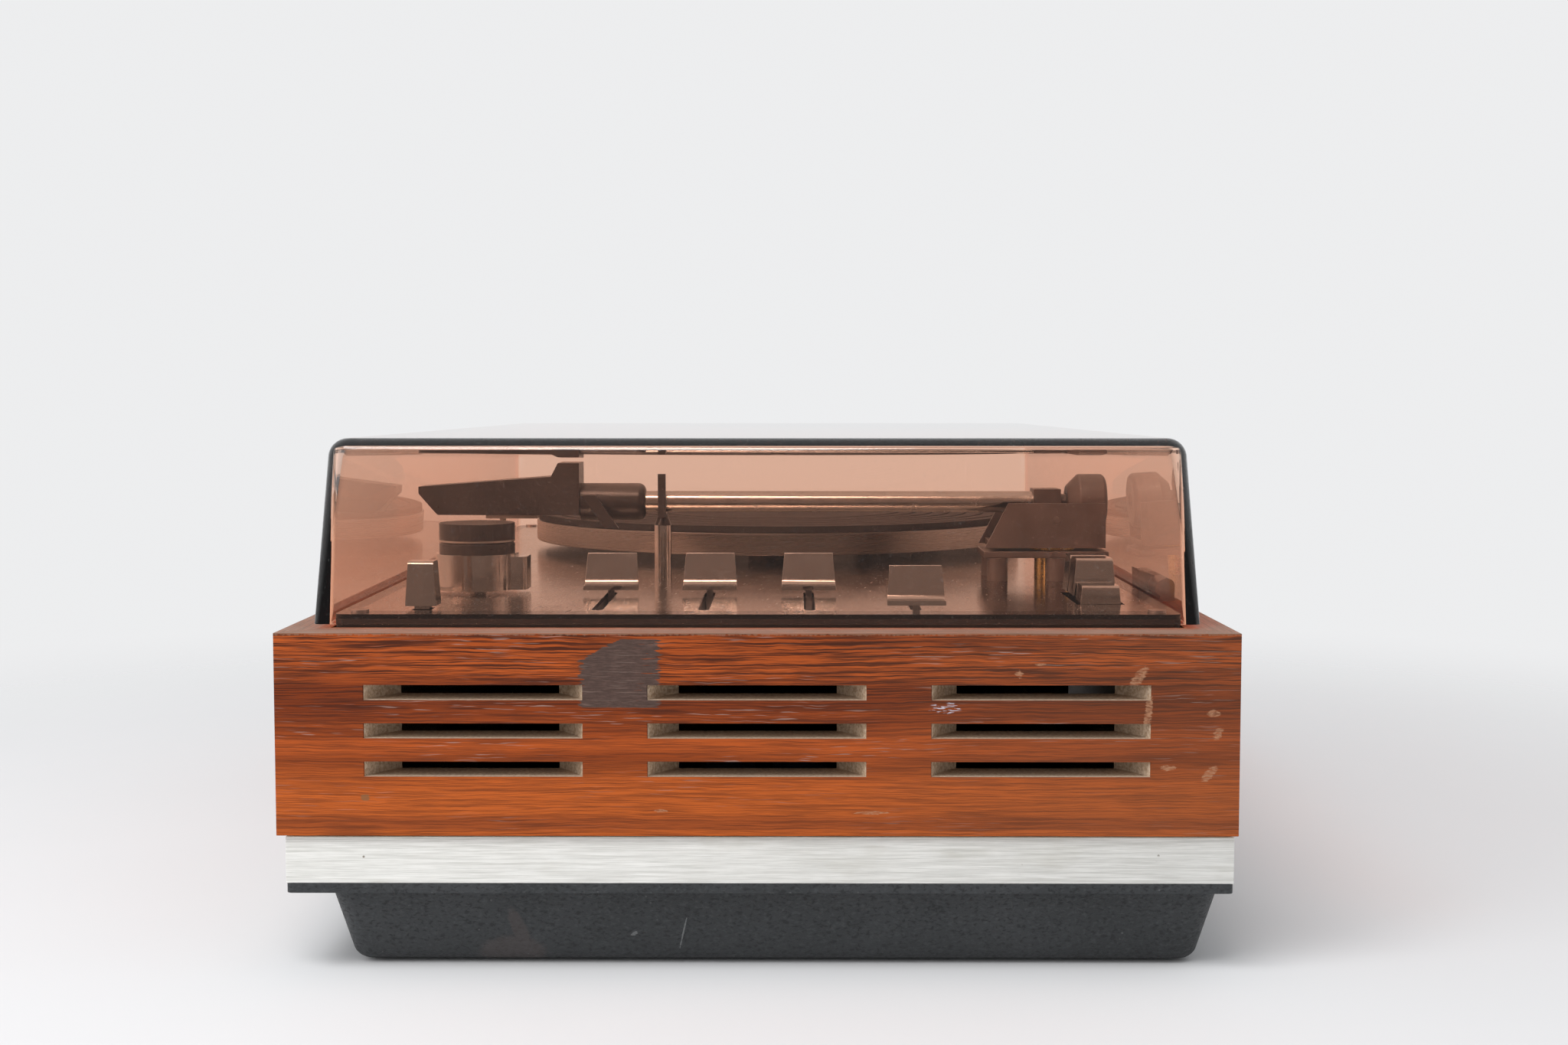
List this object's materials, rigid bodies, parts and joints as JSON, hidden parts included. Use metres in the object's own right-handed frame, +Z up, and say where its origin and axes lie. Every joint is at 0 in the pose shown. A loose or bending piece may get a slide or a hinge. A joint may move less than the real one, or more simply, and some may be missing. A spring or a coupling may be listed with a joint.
{
  "type": "record player",
  "caption": "Compact record player in a vented wooden cabinet, with a hinged smoked cover over the platter, tone arm and slider controls.",
  "frame": {"origin": "middle of the footprint, on the surface that the rubber feet stand on", "axes": "+Z up; +Y to the rear, where the cover is hinged; +X to the side with the tone arm and vent slots"},
  "size_m": [0.46, 0.31, 0.174],
  "materials": {
    "teak": "satin teak veneer",
    "chipboard": "raw board",
    "deck_black": "black-stained board",
    "tray_black": "fine texture",
    "black_plastic": "satin",
    "band_aluminium": "brushed along the band",
    "deck_aluminium": "polished",
    "platter_metal": "turned",
    "chrome": "plated",
    "steel": "plain",
    "arm_dark": "dark lacquer",
    "rubber": "plain",
    "brass": "plain",
    "switch_plastic": "plain",
    "winding": "taped winding",
    "circuit_board": "laminate",
    "can": "sleeved",
    "cartridge": "plain",
    "smoked": "smoked rose-brown acrylic"
  },
  "bodies": {
    "cabinet": {"front_panel": "teak", "rear_panel": "teak", "left_panel": "teak", "right_panel": "teak", "base_frame": "chipboard", "corner_blocks": "chipboard", "support_rails": "chipboard", "deck_board": "deck_black", "base_tray": "tray_black", "arm_rest_clip": "black_plastic", "socket_plate": "black_plastic", "mains_gland": "black_plastic", "trim_band": "band_aluminium", "deck_plate": "deck_aluminium", "arm_rest_post": "chrome", "tray_screws": "steel", "deck_screws": "steel", "bearing_housing": "steel", "motor": "steel", "idler_bracket": "steel", "hinge_brackets": "steel", "hinge_pins": "steel", "din_sockets": "steel", "slide_pots": "steel", "key_switch_bank": "steel", "arm_base_plate": "arm_dark", "arm_columns": "arm_dark", "transformer_core": "arm_dark", "rubber_feet": "rubber", "motor_grommets": "rubber", "arm_bush": "brass", "selector_switch": "switch_plastic", "power_switch": "switch_plastic", "transformer_winding": "winding", "amplifier_board": "circuit_board", "capacitors": "can"},
    "platter": {"platter": "platter_metal", "platter_mat": "rubber", "spindle": "steel"},
    "idler": {"idler_wheel": "rubber"},
    "pulley": {"motor_pulley": "brass"},
    "yoke": {"arm_yoke": "arm_dark"},
    "tonearm": {"arm_tube": "chrome", "arm_block": "arm_dark", "head_shell": "black_plastic", "cartridge": "cartridge", "finger_lift": "black_plastic"},
    "weight": {"counterweight": "arm_dark"},
    "slider_1": {"slider_knob_1": "chrome"},
    "slider_2": {"slider_knob_2": "chrome"},
    "slider_3": {"slider_knob_3": "chrome"},
    "slider_4": {"slider_knob_4": "chrome"},
    "push_key_1": {"key_1": "chrome"},
    "push_key_2": {"key_2": "chrome"},
    "push_key_3": {"key_3": "chrome"},
    "selector": {"selector_skirt": "chrome", "selector_cap": "black_plastic"},
    "power": {"power_key": "chrome"},
    "cover": {"dust_cover": "smoked", "cover_lugs": "black_plastic"}
  },
  "joints": [
    {"name": "platter_spin", "type": "hinge", "parent": "cabinet", "child": "platter", "pos_m": [-0.081, 0.0043, 0.12], "axis": [0, 0, 1], "continuous": true},
    {"name": "idler_spin", "type": "hinge", "parent": "cabinet", "child": "idler", "pos_m": [-0.14524, 0.06854, 0.123], "axis": [0, 0, 1], "continuous": true},
    {"name": "motor_spin", "type": "hinge", "parent": "cabinet", "child": "pulley", "pos_m": [-0.15301, 0.04719, 0.12], "axis": [0, 0, 1], "continuous": true},
    {"name": "arm_swing", "type": "hinge", "parent": "cabinet", "child": "yoke", "pos_m": [0.087, 0.1134, 0.12], "axis": [0, 0, -1], "range_deg": [0, 43]},
    {"name": "arm_pitch", "type": "hinge", "parent": "yoke", "child": "tonearm", "pos_m": [0.087, 0.1134, 0.1397], "axis": [-1, 0, 0], "range_deg": [0, 2.2]},
    {"name": "weight_slide", "type": "slide", "parent": "tonearm", "child": "weight", "axis": [0, 1, 0], "range_m": [-0.002, 0.002]},
    {"name": "slider_1_travel", "type": "slide", "parent": "cabinet", "child": "slider_1", "axis": [1, 0, 0], "range_m": [0, 0.05]},
    {"name": "slider_2_travel", "type": "slide", "parent": "cabinet", "child": "slider_2", "axis": [1, 0, 0], "range_m": [0, 0.05]},
    {"name": "slider_3_travel", "type": "slide", "parent": "cabinet", "child": "slider_3", "axis": [1, 0, 0], "range_m": [0, 0.05]},
    {"name": "slider_4_travel", "type": "slide", "parent": "cabinet", "child": "slider_4", "axis": [1, 0, 0], "range_m": [-0.05, 0]},
    {"name": "key_1_press", "type": "slide", "parent": "cabinet", "child": "push_key_1", "axis": [0, 0, 1], "range_m": [0, 0.0082]},
    {"name": "key_2_press", "type": "slide", "parent": "cabinet", "child": "push_key_2", "axis": [0, 0, 1], "range_m": [-0.0082, 0]},
    {"name": "key_3_press", "type": "slide", "parent": "cabinet", "child": "push_key_3", "axis": [0, 0, 1], "range_m": [-0.0082, 0]},
    {"name": "selector_turn", "type": "hinge", "parent": "cabinet", "child": "selector", "pos_m": [0.14, -0.104, 0.12], "axis": [0, 0, 1], "range_deg": [-60, 60]},
    {"name": "power_tilt", "type": "hinge", "parent": "cabinet", "child": "power", "pos_m": [0.198, -0.1127, 0.1113], "axis": [0, 1, 0], "range_deg": [-7, 7]},
    {"name": "cover_hinge", "type": "hinge", "parent": "cabinet", "child": "cover", "pos_m": [0, 0.15, 0.1172], "axis": [-1, 0, 0], "range_deg": [0, 75]}
  ],
  "couplings": [
    {"joint": "idler_spin", "follows": "platter_spin", "ratio": 5.55},
    {"joint": "motor_spin", "follows": "platter_spin", "ratio": -43.191}
  ]
}
